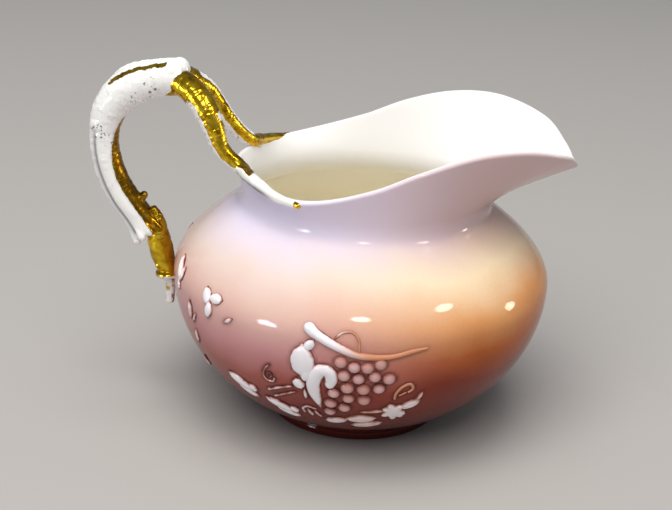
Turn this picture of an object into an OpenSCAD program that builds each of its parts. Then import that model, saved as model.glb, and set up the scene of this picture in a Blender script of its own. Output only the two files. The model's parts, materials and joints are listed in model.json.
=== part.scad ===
// Porcelain cream jug: a squat bowl on a foot ring, a waisted neck that opens into a wide spout,
// a branch handle that forks over the rear rim, and a grape vine in low relief on both sides.
// The origin is the middle of the foot ring, on the table. The spout points along +X.
// The side towards -Y is the front.

/* [Bowl] */
// Radius of the bowl at its widest
bowl_r = 55; // [48:0.5:68]
// Height of the widest place
belly_z = 43.5; // [36:0.5:48]
// Radius of the throat, where the neck leaves the shoulder
throat_r = 35.5; // [29:0.5:43]
// Height of the throat
throat_z = 65.5; // [58:0.5:79]
// Slope of the shoulder at the throat, in degrees
throat_angle = 33; // [26:1:42]
// Thickness of the wall
wall = 2.2; // [1.6:0.1:3]

/* [Foot] */
// Outer radius of the foot ring
foot_r = 26; // [21:0.5:31]
// Height at which the bowl rises from the foot ring
foot_h = 3.4; // [2.8:0.1:4.2]
// Width of the foot ring below
foot_w = 3.2; // [2.4:0.1:5]
// Height of the sunk base inside the foot ring
base_recess = 1.5; // [1:0.1:2]

/* [Neck and spout] */
// Overhang of the spout's tip beyond the throat
spout_reach = 24; // [18:0.5:30]
// Height of the spout's tip above the throat
tip_lift = 13; // [10:0.5:16]
// Height of the spout's crest above the throat
crest_lift = 23.3; // [19:0.1:28]
// Height of the rim above the throat at the sides
side_lift = 13.6; // [11:0.1:16.5]
// Height of the rim above the throat at the back
back_lift = 9.6; // [8:0.1:12]
// Flare of the rim at the sides and back
rim_flare = 2.2; // [1:0.1:4]
// Thickness of the wall at the rim
rim_wall = 1.8; // [1.4:0.1:2.2]

/* [Handle] */
// Reach of the handle's middle line beyond the bowl
handle_reach = 20; // [16:0.5:26]
// Rise of the handle's middle line above the rear rim
handle_rise = 24.4; // [20:0.1:32]
// Thickness of the stem
stem_d = 8; // [6.6:0.1:9.4]
// Thickness of the arm at the top
arm_d = 9.6; // [8:0.1:11]
// Thickness of a fork where it leaves the arm
fork_d = 7.4; // [6:0.1:8.6]
// Thickness of a fork's end on the rim
fork_end_d = 2.6; // [2:0.1:4]
// Thickness of the tail that joins the bowl
tail_d = 6; // [5:0.1:7]
// Turn from the spout at which a fork comes down on the rim, and at which it ends
fork_lands = 160; // [150:1:165]
fork_ends = 119; // [105:1:130]

/* [Vine] */
// Diameter of a grape
grape_d = 3.7; // [3:0.1:3.8]
// Distance between neighbouring grapes
grape_pitch = 4.1; // [4:0.1:5]
// Height of the leaves above the glaze
leaf_relief = 1; // [0.6:0.1:1.6]
// Thickness of the vine branch at its cut end
branch_d = 2.8; // [2:0.1:3.4]
// Thickness of a tendril
tendril_d = 0.9; // [0.7:0.1:1.4]

/* [Hidden] */

segments = 72;
// Fine enough for the form that cuts the backs of small pieces
form_segments = 720;
tube_sides = 12;
// Side of a cube that is larger than the jug
far = 300;
// Glaze colours
cream = "#F4E6D2";
white = "#EFEDF2";
gilt = "#B98A2E";
relief = "#E4DCEA";
grape = "#D0A5A6";

// --- Lists, lines and curves -------------------------------------------------
function tail(list) = [for (i = [1:len(list) - 1]) list[i]];
function backwards(list) = [for (i = [len(list) - 1:-1:0]) list[i]];
function last(list) = list[len(list) - 1];
function clamp_to(list, i) = list[min(max(i, 0), len(list) - 1)];
function unit(v) = v / norm(v);
function mix(a, b, t) = a + (b - a) * t;
// Parabola and cubic pulled towards their middle points
function bend(a, b, c, t) = (1 - t) * (1 - t) * a + 2 * t * (1 - t) * b + t * t * c;
function cubic(a, b, c, d, t) =
    pow(1 - t, 3) * a + 3 * t * pow(1 - t, 2) * b + 3 * t * t * (1 - t) * c + pow(t, 3) * d;
// Smooth curve through all the items of a list; t counts items
function through(list, t) =
    let (i = min(floor(t), len(list) - 2), f = t - i,
        a = clamp_to(list, i - 1), b = list[i], c = list[i + 1], d = clamp_to(list, i + 2))
    0.5 * (2 * b + (c - a) * f + (2 * a - 5 * b + 4 * c - d) * f * f + (3 * b - a - 3 * c + d) * f * f * f);
function smooth(list, steps) =
    [for (i = [0:(len(list) - 1) * steps]) through(list, i / steps)];
// Direction of a line at one of its points
function way_at(line, i) = unit(clamp_to(line, i + 1) - clamp_to(line, i - 1));

// --- Profile of the bowl -------------------------------------------------------
low_steps = 10;
high_steps = 8;
// Where the fillet under the neck takes over from the shoulder
shoulder_end = 0.92;
throat = [throat_r, throat_z];
widest = [bowl_r, belly_z];
shoulder_lift = 0.36 * (throat_z - belly_z);
shoulder_run = 0.38 * norm(widest - throat);
function shoulder(t) = cubic(widest, widest + [0, shoulder_lift],
    throat - shoulder_run * [-cos(throat_angle), sin(throat_angle)], throat, t);
// Half height of the round below the widest place, which meets the foot ring at its height
bowl_depth = (belly_z - foot_h) / sqrt(1 - pow(foot_r / bowl_r, 2));
// That round, for a shape smaller all round by d, from the height given
function bowl_round(from, d) =
    let (low = acos((belly_z - from) / (bowl_depth - d)))
    [for (i = [0:low_steps]) let (turn = mix(low, 90, i / low_steps))
        [(bowl_r - d) * sin(turn), belly_z - (bowl_depth - d) * cos(turn)]];
groove = 0.6;
floor_z = base_recess + wall + 0.2;
// The foot ring is cast a little too deep, and its face is then ground flat
ground_off = 0.4;
foot_line = [
    [foot_r - foot_w - 1, base_recess], [foot_r - foot_w, 0.7],
    [foot_r - foot_w + 0.6, -ground_off], [foot_r - 0.8, -ground_off], [foot_r, 0.6],
    [foot_r, foot_h - 2 * groove], [foot_r - groove, foot_h - groove]];
shoulder_line = [for (i = [0:high_steps]) shoulder(shoulder_end * i / high_steps)];
bowl_outside = concat(bowl_round(foot_h, 0), tail(shoulder_line));
bowl_inside = bowl_round(floor_z, wall);
// Radius and lean of the outside at a height
heights = [for (p = bowl_outside) [p[1], p[0]]];
function bowl_radius(z) = lookup(z, heights);
function bowl_lean(z) = atan((bowl_radius(z - 1) - bowl_radius(z + 1)) / 2);

// --- Rim -------------------------------------------------------------------------
// Stations round the rim: turn from the spout, overhang beyond the throat, height above the throat
rim_stations = [
    [0, spout_reach, tip_lift],
    [10, spout_reach, mix(tip_lift, crest_lift, 0.18)],
    [20, 0.93 * spout_reach, mix(tip_lift, crest_lift, 0.62)],
    [35, 0.65 * spout_reach, crest_lift],
    [50, 0.37 * spout_reach, 0.99 * crest_lift],
    [70, 0.17 * spout_reach, mix(side_lift, crest_lift, 0.56)],
    [90, rim_flare, side_lift],
    [120, 1.4 * rim_flare, 0.9 * back_lift],
    [150, 0.6 * rim_flare, back_lift],
    [180, rim_flare, back_lift]];
last_station = len(rim_stations) - 1;
// Slope between the neighbours of a station, per degree, level at both ends
function station_slope(i) = i == 0 || i == last_station ? [1, 0, 0]
    : (rim_stations[i + 1] - rim_stations[i - 1]) / (rim_stations[i + 1][0] - rim_stations[i - 1][0]);
function rim_at(turn) =
    let (i = max([for (k = [0:last_station - 1]) if (rim_stations[k][0] <= turn) k]),
        a = rim_stations[i], b = rim_stations[i + 1], gap = b[0] - a[0], f = (turn - a[0]) / gap)
    (2 * f * f * f - 3 * f * f + 1) * a + (f * f * f - 2 * f * f + f) * gap * station_slope(i)
    + (3 * f * f - 2 * f * f * f) * b + (f * f * f - f * f) * gap * station_slope(i + 1);
// The same on both sides of the spout
function rim_edge(turn) = let (station = rim_at(abs(turn - 360 * round(turn / 360))))
    throat + [station[1], station[2]];

// --- Neck ------------------------------------------------------------------------
fillet = 3.6;
fillet_steps = 4;
neck_steps = 7;
// Outside of the neck at one turn, as radius and height, from the shoulder up to the rim
function neck_outside(turn) =
    let (edge = rim_edge(turn), rise = edge - throat,
        lean = unit([0.13 * rise[0], 0.35 * rise[1]]),
        leave = throat + fillet * lean, pull = throat + 1.7 * fillet * lean)
    concat(
        [for (i = [1:fillet_steps]) bend(last(shoulder_line), throat, leave, i / fillet_steps)],
        [for (i = [1:neck_steps]) bend(leave, pull, edge, i / neck_steps)]);
// Inside of the wall above the widest place: square to the outside, thinning to the rim
function inside_of(line) = [for (i = [0:len(line) - 1])
    let (way = way_at(line, i), thick = mix(wall, rim_wall, i / (len(line) - 1)))
    line[i] + thick * [-way[1], way[0]]];
// Half round over the rim's edge
function rim_round(out_edge, in_edge) =
    let (middle = (out_edge + in_edge) / 2, half = out_edge - middle)
    [for (w = [36:36:144]) middle + half * cos(w) + [-half[1], half[0]] * sin(w)];
// Whole outline at one turn, from the underside round the rim to the inner floor
function body_line(turn) =
    let (outside = concat(shoulder_line, neck_outside(turn)), inside = inside_of(outside))
    concat(foot_line, bowl_round(foot_h, 0), tail(outside), rim_round(last(outside), last(inside)),
        backwards(tail(inside)), backwards(bowl_inside));

function turned(p, turn) = [p[0] * cos(turn), p[0] * sin(turn), p[1]];
// Skin round the axis from one line of points at each turn, closed by a flat face at each end
module revolved_skin(lines) {
    n = len(lines);
    m = len(lines[0]);
    polyhedron(
        points = [for (line = lines) each line],
        faces = concat(
            [for (i = [0:n - 1]) for (j = [0:m - 2]) for (half = [0, 1])
                let (a = i * m + j, b = a + 1, d = ((i + 1) % n) * m + j, c = d + 1)
                half == 0 ? [a, b, c] : [a, c, d]],
            [[for (i = [0:n - 1]) i * m], [for (i = [n - 1:-1:0]) i * m + m - 1]]),
        convexity = 8);
}

module jug_body() {
    color(cream) difference() {
        revolved_skin([for (i = [0:segments - 1]) let (turn = 360 * i / segments)
            [for (p = body_line(turn)) turned(p, turn)]]);
        translate([-far / 2, -far / 2, -far]) cube(far);
    }
}

// Solid with the outside of the bowl, which cuts the backs of what is laid on it
module bowl_form() {
    rotate_extrude($fn = form_segments) polygon(concat([[0, foot_h]], bowl_outside, [[0, last(bowl_outside)[1]]]));
}

// Outline at one turn of a form with the outside of the bowl and neck and the whole round of the rim
core_r = 5;
core_top = rim_edge(180)[1] - rim_wall;
function form_line(turn) =
    let (outside = concat(shoulder_line, neck_outside(turn)), in_edge = last(inside_of(outside)))
    concat([[core_r, foot_h]], bowl_round(foot_h, 0), tail(outside),
        rim_round(last(outside), in_edge), [in_edge, [core_r, core_top]]);
module jug_form() {
    revolved_skin([for (i = [0:segments - 1]) let (turn = 360 * i / segments)
        [for (p = form_line(turn)) turned(p, turn)]]);
}

// Round rod along a line of points, with a diameter at each; across is never along the line
module rod(line, diameters, across) {
    n = len(line);
    rings = [for (i = [0:n - 1])
        let (way = way_at(line, i), side = unit(cross(across, way)), up = cross(way, side))
        [for (k = [0:tube_sides - 1]) let (w = 360 * k / tube_sides)
            line[i] + diameters[i] / 2 * (side * cos(w) + up * sin(w))]];
    polyhedron(
        points = [for (ring = rings) each ring],
        faces = concat(
            [for (i = [0:n - 2]) for (k = [0:tube_sides - 1]) for (half = [0, 1])
                let (a = i * tube_sides + k, b = i * tube_sides + (k + 1) % tube_sides,
                    c = b + tube_sides, d = a + tube_sides)
                half == 0 ? [a, c, b] : [a, d, c]],
            [[for (k = [0:tube_sides - 1]) k],
             [for (k = [tube_sides - 1:-1:0]) (n - 1) * tube_sides + k]]),
        convexity = 6);
}

// --- Handle ----------------------------------------------------------------------
knot_z = belly_z + 5;
arm_z = rim_edge(180)[1] + handle_rise;
// Point on the handle's middle plane: shares of its reach beyond the bowl and of its height
function on_handle(out, up) = [-(bowl_r + out * handle_reach), 0, mix(knot_z, arm_z, up)];
// Each row: share of the reach, share of the height, thickness as a share of the stem's
stem_rows = [
    [0.32, -0.03, 1.16], [0.42, 0.05, 1.1], [0.58, 0.18, 1], [0.81, 0.345, 1], [0.965, 0.51, 0.98],
    [1, 0.665, 0.98], [0.915, 0.81, 1.1], [0.66, 0.93, 1.25], [0.27, 0.985, arm_d / stem_d], [-0.2, 1, arm_d / stem_d]];
stem_line = smooth([for (r = stem_rows) on_handle(r[0], r[1])], 3);
stem_sizes = smooth([for (r = stem_rows) stem_d * r[2]], 3);
tail_rows = [[0.36, 0.02, 1.1], [0.24, -0.11, 1], [0.1, -0.22, 1.04], [0.08, -0.345, 0.78]];
tail_line = smooth([for (r = tail_rows) on_handle(r[0], r[1])], 3);
tail_sizes = smooth([for (r = tail_rows) tail_d * r[2]], 3);
knot_end = on_handle(-0.16, 1);
cut_z = knot_z - 0.5;

module handle_stem() {
    color(white) difference() {
        union() {
            rod(stem_line, stem_sizes, [0, 1, 0]);
            bud(0.72, 0.31);
            bud(0.56, 0.19);
        }
        translate([knot_end[0], -far / 2, 0]) cube(far);
        translate([-far / 2, -far / 2, cut_z - far]) cube(far);
    }
}

// Cut twig end on the inner side of the stem
module bud(out, up) {
    from = on_handle(out, up);
    rod([from, from + [0.45 * stem_d, 0, 0.1 * stem_d], from + [0.72 * stem_d, 0, 0.3 * stem_d]],
        [0.5 * stem_d, 0.44 * stem_d, 0.34 * stem_d], [0, 1, 0]);
}

module handle_tail() {
    color(gilt) difference() {
        rod(tail_line, tail_sizes, [0, 1, 0]);
        translate([-far / 2, -far / 2, cut_z]) cube(far);
        bowl_form();
    }
}

// A fork drops from the arm to the rim and runs along it to its end
function on_rim(turn) = let (edge = rim_edge(turn)) turned(edge + [0.4, 0.5], -turn);
fork_top = knot_end + [-0.2 * arm_d, -0.2 * arm_d, -0.05 * arm_d];
fork_foot = on_rim(fork_lands);
fork_points = [
    fork_top,
    mix(fork_top, fork_foot, 0.24) + [0.6, -0.6, 1.4],
    mix(fork_top, fork_foot, 0.6) + [-0.6, -0.3, -0.6],
    fork_foot,
    on_rim(mix(fork_lands, fork_ends, 0.35)),
    on_rim(mix(fork_lands, fork_ends, 0.7)),
    on_rim(fork_ends)];
fork_line = smooth(fork_points, 4);
fork_sizes = smooth([fork_d, fork_d, 0.8 * fork_d, mix(fork_end_d, fork_d, 0.45),
    mix(fork_end_d, fork_d, 0.25), mix(fork_end_d, fork_d, 0.08), 0.8 * fork_end_d], 4);

module fork_front() {
    color(gilt) difference() {
        rod(fork_line, fork_sizes, [1, 0, 0]);
        translate([knot_end[0] - far, -far / 2, 0]) cube(far);
        translate([-far / 2, 0, 0]) cube(far);
        jug_form();
    }
}

module fork_back() {
    mirror([0, 1, 0]) fork_front();
}

// --- Vine relief -------------------------------------------------------------------
// A place on the front of the bowl: distance round it from the middle, and height
function azimuth(along, z) = along / bowl_radius(z) * 180 / PI - 90;
function on_bowl(along, z, lift = 0) =
    turned([bowl_radius(z) + lift * cos(bowl_lean(z)), z + lift * sin(bowl_lean(z))], azimuth(along, z));
// Child laid on the bowl with its Z outwards and its Y up the bowl, turned in its own plane
module laid(along, z, turn = 0) {
    translate(on_bowl(along, z))
        rotate([0, 0, azimuth(along, z) + 90])
            rotate([90 - bowl_lean(z), 0, 0])
                rotate([0, 0, turn]) children();
}
module on_glaze() {
    difference() {
        union() children();
        bowl_form();
    }
}
root = 1.2;
// Pointed blade from its stalk along Y
module blade(length, width, relief_share = 1) {
    arc = (length * length + width * width) / (4 * width);
    translate([0, length / 2, -root]) linear_extrude(root + relief_share * leaf_relief) intersection() {
        translate([arc - width / 2, 0]) circle(arc, $fn = 180);
        translate([width / 2 - arc, 0]) circle(arc, $fn = 180);
    }
}
// Blade on the bowl from its stalk to its tip
module blade_to(from, to, width, relief_share = 1) {
    turn = azimuth(from[0], from[1]);
    lean = bowl_lean(from[1]);
    run = on_bowl(to[0], to[1]) - on_bowl(from[0], from[1]);
    aside = run * [-sin(turn), cos(turn), 0];
    up = run * [-sin(lean) * cos(turn), -sin(lean) * sin(turn), cos(lean)];
    laid(from[0], from[1], atan2(-aside, up)) blade(norm(run), width, relief_share);
}
// Round lobe
module lobe(d, relief_share = 1) {
    translate([0, 0, -root]) cylinder(root + relief_share * leaf_relief, d = d, $fn = 72);
}
// Rod laid along places on the bowl
module vine(places, diameters) {
    line = smooth([for (p = places) on_bowl(p[0], p[1], 0.2)], 3);
    rod(line, smooth(diameters, 3), [0, -1, 0.1]);
}

branch_places = [[-15.4, 48.4], [-8.5, 44.5], [-1.8, 41.6], [6.2, 41.7], [14, 43.7], [20, 44.2]];
module branch_front() {
    color(relief) on_glaze()
        vine(branch_places, [for (share = [1, 0.8, 0.62, 0.5, 0.42, 0.34]) share * branch_d]);
}

// Rows of grapes from the top: start and count
grape_rows = [[-6.9, 4], [-5.6, 4], [-4.3, 3], [-7.9, 3], [-8.6, 2], [-8.2, 1]];
top_row_z = 38.6;
row_drop = 0.93 * grape_pitch;
lowest_row_z = top_row_z - (len(grape_rows) - 1) * row_drop;
module grapes_front() {
    color(grape) on_glaze()
        for (k = [0:len(grape_rows) - 1]) for (i = [0:grape_rows[k][1] - 1])
            translate(on_bowl(grape_rows[k][0] + i * grape_pitch, top_row_z - k * row_drop))
                sphere(d = grape_d, $fn = 72);
}

module large_leaf_front() {
    color(relief) on_glaze() {
        laid(-17.2, 38.6) lobe(7.4, 1.2);
    }
}

module curled_leaf_front() {
    color(relief) on_glaze() {
        laid(-12.2, 34.2) lobe(5.4, 1.1);
        blade_to([-11.6, 21.6], [-14, 34.6], 4.4, 0.9);
    }
}

module small_leaves_front() {
    color(relief) on_glaze() {
        laid(-16, 44.4) lobe(3.6, 0.7);
        laid(-18.6, 29.4) lobe(4, 0.7);
        laid(-14.6, 18, 10) blade(5, 2.6, 0.6);
    }
}

module cluster_leaves_front() {
    color(relief) on_glaze() {
        laid(-9, lowest_row_z - 4, -75) blade(6, 3.4, 0.8);
        laid(-2, lowest_row_z - 2, -100) blade(8, 4.6, 0.9);
        laid(2.6, lowest_row_z + 2.3, 172) blade(7, 3, 0.7);
    }
}

module star_leaf_front() {
    color(relief) on_glaze() {
        laid(8.6, 21.6) lobe(3.4, 0.9);
        for (point = [[-152, 4.4], [-72, 7.6], [-14, 4.6], [52, 4.2], [112, 4]])
            laid(8.6, 21.6, point[0]) translate([0, 0.7, 0]) blade(point[1], 2.8, 0.8);
    }
}

module left_leaves_front() {
    color(relief) on_glaze() {
        laid(-30.5, 20, 68) blade(10, 3.6);
        laid(-18.8, 15, 62) blade(8.6, 3.4);
    }
}

module trefoil_front() {
    color(relief) on_glaze()
        for (turn = [80, 200, 320]) laid(-46.8, 46.6, turn) translate([0, 2, 0]) lobe(3.6, 0.9);
}

module handle_sprig_front() {
    color(relief) on_glaze() {
        laid(-68.7, 45.4, 4) blade(6.4, 2.8);
        laid(-57.6, 38.2, -12) blade(5, 2.4, 0.8);
        laid(-56, 30.4, 10) blade(5, 2, 0.7);
        laid(-53.5, 21.5, 24) blade(5, 2, 0.7);
    }
}

tendril_routes = [
    [[-8.2, 45.6], [-7, 47.2], [-4.3, 47.6], [-2.2, 46.2], [-1.9, 43.4]],
    [[-26.4, 34], [-28.6, 32.4], [-28.6, 29.6], [-26, 28.2], [-24.6, 29.8], [-26, 31]],
    [[-26.4, 25], [-23.4, 26.8], [-20, 27.6]],
    [[13.2, 29], [12.2, 31], [10, 31.4], [8.7, 29.8], [10.2, 28.6]]];
module tendrils_front() {
    color(relief) on_glaze()
        for (route = tendril_routes) vine(route, [for (p = route) tendril_d]);
}

module branch_back() { mirror([0, 1, 0]) branch_front(); }
module grapes_back() { mirror([0, 1, 0]) grapes_front(); }
module large_leaf_back() { mirror([0, 1, 0]) large_leaf_front(); }
module curled_leaf_back() { mirror([0, 1, 0]) curled_leaf_front(); }
module small_leaves_back() { mirror([0, 1, 0]) small_leaves_front(); }
module cluster_leaves_back() { mirror([0, 1, 0]) cluster_leaves_front(); }
module star_leaf_back() { mirror([0, 1, 0]) star_leaf_front(); }
module left_leaves_back() { mirror([0, 1, 0]) left_leaves_front(); }
module trefoil_back() { mirror([0, 1, 0]) trefoil_front(); }
module handle_sprig_back() { mirror([0, 1, 0]) handle_sprig_front(); }
module tendrils_back() { mirror([0, 1, 0]) tendrils_front(); }

jug_body();
handle_stem();
handle_tail();
fork_front();
fork_back();
branch_front();
branch_back();
grapes_front();
grapes_back();
large_leaf_front();
large_leaf_back();
curled_leaf_front();
curled_leaf_back();
small_leaves_front();
small_leaves_back();
cluster_leaves_front();
cluster_leaves_back();
star_leaf_front();
star_leaf_back();
left_leaves_front();
left_leaves_back();
trefoil_front();
trefoil_back();
handle_sprig_front();
handle_sprig_back();
tendrils_front();
tendrils_back();
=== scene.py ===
"""Porcelain cream jug: an airbrushed bowl, a white neck and spout, a gilded branch handle that
forks over the rear rim, and a grape vine in low relief on both sides.

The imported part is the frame: the origin is the middle of the foot ring, the spout points along
+X and the front faces -Y. Shapes are worked out in millimetres and become metres in solid().
"""

import json
import math
from functools import partial

import bmesh
import bpy
import numpy as np
from mathutils import Matrix, Vector, kdtree, noise

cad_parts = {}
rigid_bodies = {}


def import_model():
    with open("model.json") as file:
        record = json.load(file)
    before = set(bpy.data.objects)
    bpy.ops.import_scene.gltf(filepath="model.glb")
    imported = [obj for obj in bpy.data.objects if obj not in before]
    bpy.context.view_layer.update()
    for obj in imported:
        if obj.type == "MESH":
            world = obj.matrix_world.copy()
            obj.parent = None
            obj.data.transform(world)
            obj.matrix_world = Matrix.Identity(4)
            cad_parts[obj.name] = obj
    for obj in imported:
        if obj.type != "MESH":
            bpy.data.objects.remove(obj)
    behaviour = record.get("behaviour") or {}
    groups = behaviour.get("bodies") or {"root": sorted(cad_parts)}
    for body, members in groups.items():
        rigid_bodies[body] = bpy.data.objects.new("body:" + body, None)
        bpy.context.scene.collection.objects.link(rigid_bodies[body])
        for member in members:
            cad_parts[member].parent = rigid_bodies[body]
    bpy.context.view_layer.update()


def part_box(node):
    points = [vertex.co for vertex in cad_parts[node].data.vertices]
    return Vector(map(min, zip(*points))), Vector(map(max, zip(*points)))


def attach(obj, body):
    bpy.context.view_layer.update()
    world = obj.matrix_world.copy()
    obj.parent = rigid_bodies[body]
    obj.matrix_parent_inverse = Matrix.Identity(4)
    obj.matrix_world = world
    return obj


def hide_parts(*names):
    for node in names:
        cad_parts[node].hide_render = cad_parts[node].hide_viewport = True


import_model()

bl_info = {
    "name": "Cream jug",
    "version": (1, 0, 0),
    "blender": (4, 5, 0),
    "location": "View3D > Sidebar > Cream jug",
    "description": "Porcelain cream jug with a branch handle and a vine in relief",
    "category": "Add Mesh",
}

MM = 0.001
BODY_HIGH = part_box("jug_body")[1]

# --- Sizes of the jug, in millimetres, from the part ---

BOWL_R = BODY_HIGH.y / MM
BELLY_Z = 43.5
THROAT = np.array([35.5, 65.5])
THROAT_ANGLE = math.radians(33)
WALL = 2.2
RIM_WALL = 1.8
FOOT_R = 26
FOOT_H = 3.4
FOOT_W = 3.2
BASE_RECESS = 1.5
GROOVE = 0.6
FILLET = 3.6
SHOULDER_END = 0.92
SHOULDER_LIFT = 0.36
SHOULDER_RUN = 0.38
SPOUT_REACH = 24
TIP_LIFT = 13
CREST_LIFT = 23.3
SIDE_LIFT = 13.6
BACK_LIFT = 9.6
RIM_FLARE = 2.2
HANDLE_REACH = 20
HANDLE_RISE = 24.4
STEM_D = 8
ARM_D = 9.6
FORK_D = 7.4


# --- Lines and curves ---


def mix(a, b, share):
    return a + (b - a) * share


def unit(v):
    v = np.asarray(v, float)
    return v / np.linalg.norm(v, axis=-1, keepdims=True)


def ease(low, high, value):
    """0 below low, 1 above high, and a smooth rise between."""
    t = np.clip((value - low) / (high - low), 0, 1)
    return t * t * (3 - 2 * t)


def bend(a, b, c, steps):
    """Parabola from a to c pulled towards b, without its first point."""
    t = np.linspace(0, 1, steps + 1)[1:, None]
    return (1 - t) ** 2 * a + 2 * t * (1 - t) * b + t * t * c


def through(points, steps):
    """Smooth line through points, with that many steps between neighbours."""
    p = np.asarray(points, float)
    if p.ndim == 1:
        p = p[:, None]
    n = len(p)
    t = np.arange(steps)[:, None] / steps
    line = []
    for i in range(n - 1):
        a, b, c, d = (p[min(max(k, 0), n - 1)] for k in (i - 1, i, i + 1, i + 2))
        square, cube = 2 * a - 5 * b + 4 * c - d, 3 * b - a - 3 * c + d
        line.append(0.5 * (2 * b + (c - a) * t + square * t**2 + cube * t**3))
    return np.concatenate(line + [p[-1:]])


def rounded(corners, reach, steps):
    """Outline with each inner corner rounded over a reach on both sides."""
    corners = np.asarray(corners, float)
    line = [corners[:1]]
    for before, corner, after in zip(corners, corners[1:], corners[2:]):
        start = corner + (before - corner) * min(0.45, reach / np.linalg.norm(before - corner))
        end = corner + (after - corner) * min(0.45, reach / np.linalg.norm(after - corner))
        line += [start[None], bend(start, corner, end, steps)]
    return np.concatenate(line + [corners[-1:]])


def ways(line):
    """Direction of a line at each of its points."""
    return unit(np.gradient(line, axis=0))


# --- Outline of the bowl, foot and rim ---

WIDEST = np.array([BOWL_R, BELLY_Z])
BOWL_DEPTH = (BELLY_Z - FOOT_H) / math.sqrt(1 - (FOOT_R / BOWL_R) ** 2)
FLOOR_Z = BASE_RECESS + WALL + 0.2
LOW_STEPS = 76
HIGH_STEPS = 26


def bowl_round(start, inset, steps):
    """Round below the widest place, for a shape smaller all round by inset, from a height up."""
    turn = np.linspace(math.acos((BELLY_Z - start) / (BOWL_DEPTH - inset)), math.pi / 2, steps + 1)
    return np.stack([(BOWL_R - inset) * np.sin(turn), BELLY_Z - (BOWL_DEPTH - inset) * np.cos(turn)], 1)


def shoulder(steps):
    lift = np.array([0, SHOULDER_LIFT * (THROAT[1] - BELLY_Z)])
    run = SHOULDER_RUN * np.linalg.norm(WIDEST - THROAT)
    slope = np.array([-math.cos(THROAT_ANGLE), math.sin(THROAT_ANGLE)])
    a, b, c, d = WIDEST, WIDEST + lift, THROAT - run * slope, THROAT
    t = np.linspace(0, SHOULDER_END, steps + 1)[:, None]
    return (1 - t) ** 3 * a + 3 * t * (1 - t) ** 2 * b + 3 * t * t * (1 - t) * c + t**3 * d


SHOULDER = shoulder(HIGH_STEPS)
OUTSIDE = np.concatenate([bowl_round(FOOT_H, 0, LOW_STEPS), SHOULDER[1:]])
FOOT_LINE = rounded(
    [
        [FOOT_R - FOOT_W - 8, BASE_RECESS],
        [FOOT_R - FOOT_W - 1, BASE_RECESS],
        [FOOT_R - FOOT_W, 0.7],
        [FOOT_R - FOOT_W + 0.4, 0],
        [FOOT_R - 0.5, 0],
        [FOOT_R, 0.6],
        [FOOT_R, FOOT_H - 2 * GROOVE],
        [FOOT_R - GROOVE, FOOT_H - GROOVE],
        [FOOT_R, FOOT_H],
    ],
    0.5,
    3,
)[:-1]


def bowl_radius(z):
    return np.interp(z, OUTSIDE[:, 1], OUTSIDE[:, 0])


def bowl_lean(z):
    """Angle of the bowl's surface normal above the horizon."""
    return np.arctan((bowl_radius(z - 0.5) - bowl_radius(z + 0.5)))


# Stations round the rim: turn from the spout in degrees, overhang and height above the throat
RIM = [
    [0, SPOUT_REACH, TIP_LIFT],
    [10, SPOUT_REACH, mix(TIP_LIFT, CREST_LIFT, 0.18)],
    [20, 0.93 * SPOUT_REACH, mix(TIP_LIFT, CREST_LIFT, 0.62)],
    [35, 0.65 * SPOUT_REACH, CREST_LIFT],
    [50, 0.37 * SPOUT_REACH, 0.99 * CREST_LIFT],
    [70, 0.17 * SPOUT_REACH, mix(SIDE_LIFT, CREST_LIFT, 0.56)],
    [90, RIM_FLARE, SIDE_LIFT],
    [120, 1.4 * RIM_FLARE, 0.9 * BACK_LIFT],
    [150, 0.6 * RIM_FLARE, BACK_LIFT],
    [180, RIM_FLARE, BACK_LIFT],
]


def rim_edge(turn):
    """Radius and height of the rim's outer edge, the same on both sides of the spout."""
    turn = abs(turn - 360 * round(turn / 360))
    rim = np.array(RIM)
    i = min(int(np.searchsorted(rim[:, 0], turn, side="right")) - 1, len(rim) - 2)
    a, b = rim[i], rim[i + 1]
    level = [[1.0, 0, 0]]
    slopes = np.concatenate([level, (rim[2:] - rim[:-2]) / (rim[2:, :1] - rim[:-2, :1]), level])
    gap = b[0] - a[0]
    f = (turn - a[0]) / gap
    station = (
        (2 * f**3 - 3 * f**2 + 1) * a
        + (f**3 - 2 * f**2 + f) * gap * slopes[i]
        + (3 * f**2 - 2 * f**3) * b
        + (f**3 - f**2) * gap * slopes[i + 1]
    )
    return THROAT + station[1:]


def neck_outside(turn, fillet_steps=8, neck_steps=22):
    """Radius and height from the shoulder up to the rim."""
    edge = rim_edge(turn)
    rise = edge - THROAT
    lean = unit([0.13 * rise[0], 0.35 * rise[1]])
    leave = THROAT + FILLET * lean
    pull = THROAT + 1.7 * FILLET * lean
    return np.concatenate(
        [bend(SHOULDER[-1], THROAT, leave, fillet_steps), bend(leave, pull, edge, neck_steps)]
    )


def body_line(turn):
    """Outline at one turn from the underside round the rim to the inner floor, and where it is inside."""
    outside = np.concatenate([SHOULDER, neck_outside(turn)])
    way = ways(outside)
    thick = np.linspace(WALL, RIM_WALL, len(outside))[:, None]
    inside = outside + thick * np.stack([-way[:, 1], way[:, 0]], 1)
    middle = (outside[-1] + inside[-1]) / 2
    half = outside[-1] - middle
    w = np.radians(np.arange(20, 180, 20))[:, None]
    over = middle + half * np.cos(w) + np.array([-half[1], half[0]]) * np.sin(w)
    under = bowl_round(FOOT_H, 0, LOW_STEPS)
    within = bowl_round(FLOOR_Z, WALL, 30)
    floor = np.linspace([within[0][0], FLOOR_Z], [4, FLOOR_Z], 5)[1:]
    base = np.linspace([4, BASE_RECESS], FOOT_LINE[0], 4)[:-1]
    parts = [base, FOOT_LINE, under, outside[1:], over, inside[1:][::-1], within[::-1], floor]
    within_from = [0, 0, 0, 0, None, 1, 1, 1]
    shares = [
        np.linspace(0, 1, len(part)) if share is None else np.full(len(part), share)
        for part, share in zip(parts, within_from)
    ]
    return np.concatenate(parts), np.concatenate(shares)


# --- Making meshes ---


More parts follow.
